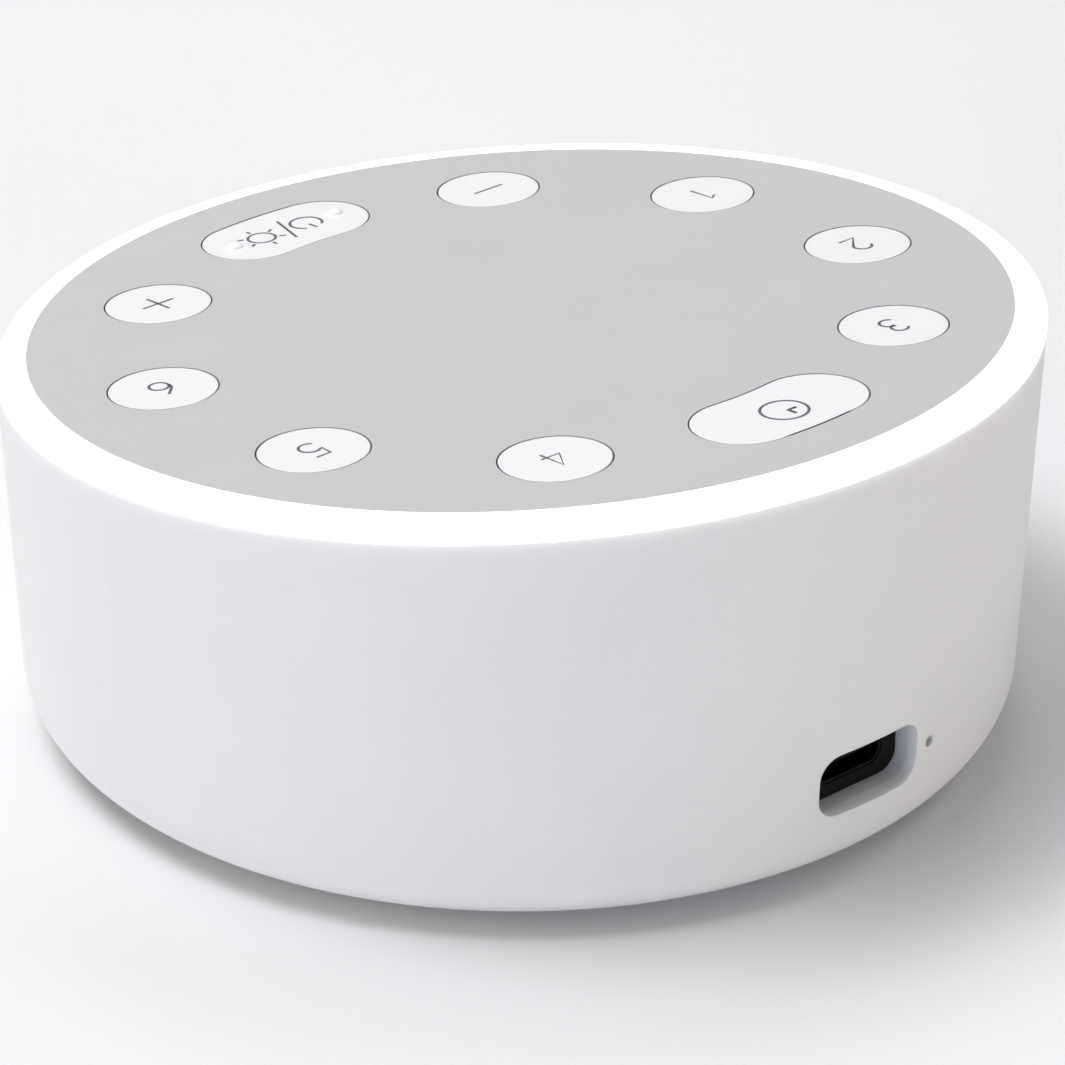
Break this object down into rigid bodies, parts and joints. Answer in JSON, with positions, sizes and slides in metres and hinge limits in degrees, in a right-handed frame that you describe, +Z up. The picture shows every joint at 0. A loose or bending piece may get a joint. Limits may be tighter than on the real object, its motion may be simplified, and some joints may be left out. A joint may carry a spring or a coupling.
{
  "type": "white noise sound machine",
  "caption": "Low round bedside sound machine with a slanted keypad top, a glowing rim, a speaker firing down through the base and a charging port at the back.",
  "frame": {"origin": "on the table, under the middle of the round body, at the undersides of the feet", "axes": "+Z up; -Y towards the user who reads the keypad, the low side of the slanted top; +Y to the back, where the charging port is; +X to the user's right"},
  "size_m": [0.1062, 0.1062, 0.047],
  "materials": {
    "housing_white": "fine matte grain, white moulded plastic",
    "inner_white": "plain moulded plastic, unpolished",
    "ribbon_white": "flat cable film",
    "glow_diffuser": "milky light-spreading plastic, satin",
    "panel_grey": "very fine matte grain, light grey",
    "key_white": "smooth satin white plastic with engraved signs",
    "plunger_black": "smooth moulded plastic",
    "switch_steel": "stamped switch cover",
    "board_green": "solder-masked glass-fibre board",
    "lamp_white": "moulded lamp package, satin",
    "chip_black": "moulded chip package",
    "can_aluminium": "drawn can with printed sleeve left bare",
    "screw_steel": "zinc plated screws",
    "port_steel": "drawn stainless shell",
    "port_black": "black moulded plastic",
    "contact_gold": "gold plated contacts",
    "clear_plastic": "clear moulded light pipe",
    "basket_black": "black painted stamping",
    "gasket_foam": "closed cell foam",
    "surround_rubber": "thin moulded rubber, satin",
    "cone_paper": "pressed paper pulp, dull",
    "coil_copper": "enamelled copper winding on its former",
    "spider_cloth": "resin-stiffened cloth",
    "plate_steel": "zinc plated pressed steel",
    "magnet_ferrite": "sintered ferrite, dull",
    "cell_wrap": "shrink sleeve",
    "foot_rubber": "soft grey rubber, matte"
  },
  "bodies": {
    "case": {"housing": "housing_white", "base_plate": "housing_white", "button_deck": "inner_white", "ribbon_sockets": "inner_white", "ribbon_cable": "ribbon_white", "light_ring": "glow_diffuser", "top_panel": "panel_grey", "switch_bodies": "switch_steel", "main_board": "board_green", "usb_board": "board_green", "ring_leds": "lamp_white", "status_led": "lamp_white", "sound_processor": "chip_black", "amplifier_chip": "chip_black", "memory_chip": "chip_black", "board_capacitors": "can_aluminium", "deck_screws": "screw_steel", "board_screws": "screw_steel", "usb_board_screws": "screw_steel", "speaker_screws": "screw_steel", "strap_screws": "screw_steel", "base_screws": "screw_steel", "usb_shell": "port_steel", "usb_tongue": "port_black", "port_insert": "port_black", "usb_contacts": "contact_gold", "status_light_pipe": "clear_plastic", "speaker_basket": "basket_black", "speaker_gasket": "gasket_foam", "speaker_surround": "surround_rubber", "speaker_spider": "spider_cloth", "speaker_top_plate": "plate_steel", "speaker_yoke": "plate_steel", "battery_straps": "plate_steel", "speaker_magnet": "magnet_ferrite", "battery_cell": "cell_wrap", "rubber_feet": "foot_rubber"},
    "power_light_button": {"power_light_button": "key_white", "power_light_plunger": "plunger_black"},
    "timer_button": {"timer_button": "key_white", "timer_plunger": "plunger_black"},
    "volume_up_button": {"volume_up_button": "key_white", "volume_up_plunger": "plunger_black"},
    "volume_down_button": {"volume_down_button": "key_white", "volume_down_plunger": "plunger_black"},
    "sound_1_button": {"sound_1_button": "key_white", "sound_1_plunger": "plunger_black"},
    "sound_2_button": {"sound_2_button": "key_white", "sound_2_plunger": "plunger_black"},
    "sound_3_button": {"sound_3_button": "key_white", "sound_3_plunger": "plunger_black"},
    "sound_4_button": {"sound_4_button": "key_white", "sound_4_plunger": "plunger_black"},
    "sound_5_button": {"sound_5_button": "key_white", "sound_5_plunger": "plunger_black"},
    "sound_6_button": {"sound_6_button": "key_white", "sound_6_plunger": "plunger_black"},
    "speaker_cone": {"speaker_cone": "cone_paper", "dust_cap": "cone_paper", "voice_coil": "coil_copper"}
  },
  "joints": [
    {"name": "power_light_press", "type": "slide", "parent": "case", "child": "power_light_button", "axis": [0, 0.0872, -0.9962], "range_m": [0, 0.0005], "stiffness_N_per_m": 800},
    {"name": "timer_press", "type": "slide", "parent": "case", "child": "timer_button", "axis": [0, 0.0872, -0.9962], "range_m": [0, 0.0005], "stiffness_N_per_m": 800},
    {"name": "volume_up_press", "type": "slide", "parent": "case", "child": "volume_up_button", "axis": [0, 0.0872, -0.9962], "range_m": [0, 0.0005], "stiffness_N_per_m": 800},
    {"name": "volume_down_press", "type": "slide", "parent": "case", "child": "volume_down_button", "axis": [0, 0.0872, -0.9962], "range_m": [0, 0.0005], "stiffness_N_per_m": 800},
    {"name": "sound_1_press", "type": "slide", "parent": "case", "child": "sound_1_button", "axis": [0, 0.0872, -0.9962], "range_m": [0, 0.0005], "stiffness_N_per_m": 800},
    {"name": "sound_2_press", "type": "slide", "parent": "case", "child": "sound_2_button", "axis": [0, 0.0872, -0.9962], "range_m": [0, 0.0005], "stiffness_N_per_m": 800},
    {"name": "sound_3_press", "type": "slide", "parent": "case", "child": "sound_3_button", "axis": [0, 0.0872, -0.9962], "range_m": [0, 0.0005], "stiffness_N_per_m": 800},
    {"name": "sound_4_press", "type": "slide", "parent": "case", "child": "sound_4_button", "axis": [0, 0.0872, -0.9962], "range_m": [0, 0.0005], "stiffness_N_per_m": 800},
    {"name": "sound_5_press", "type": "slide", "parent": "case", "child": "sound_5_button", "axis": [0, 0.0872, -0.9962], "range_m": [0, 0.0005], "stiffness_N_per_m": 800},
    {"name": "sound_6_press", "type": "slide", "parent": "case", "child": "sound_6_button", "axis": [0, 0.0872, -0.9962], "range_m": [0, 0.0005], "stiffness_N_per_m": 800},
    {"name": "cone_travel", "type": "slide", "parent": "case", "child": "speaker_cone", "axis": [0, 0, 1], "range_m": [-0.0008, 0.0008], "stiffness_N_per_m": 1500, "deforming": ["speaker_surround", "speaker_spider"]}
  ]
}
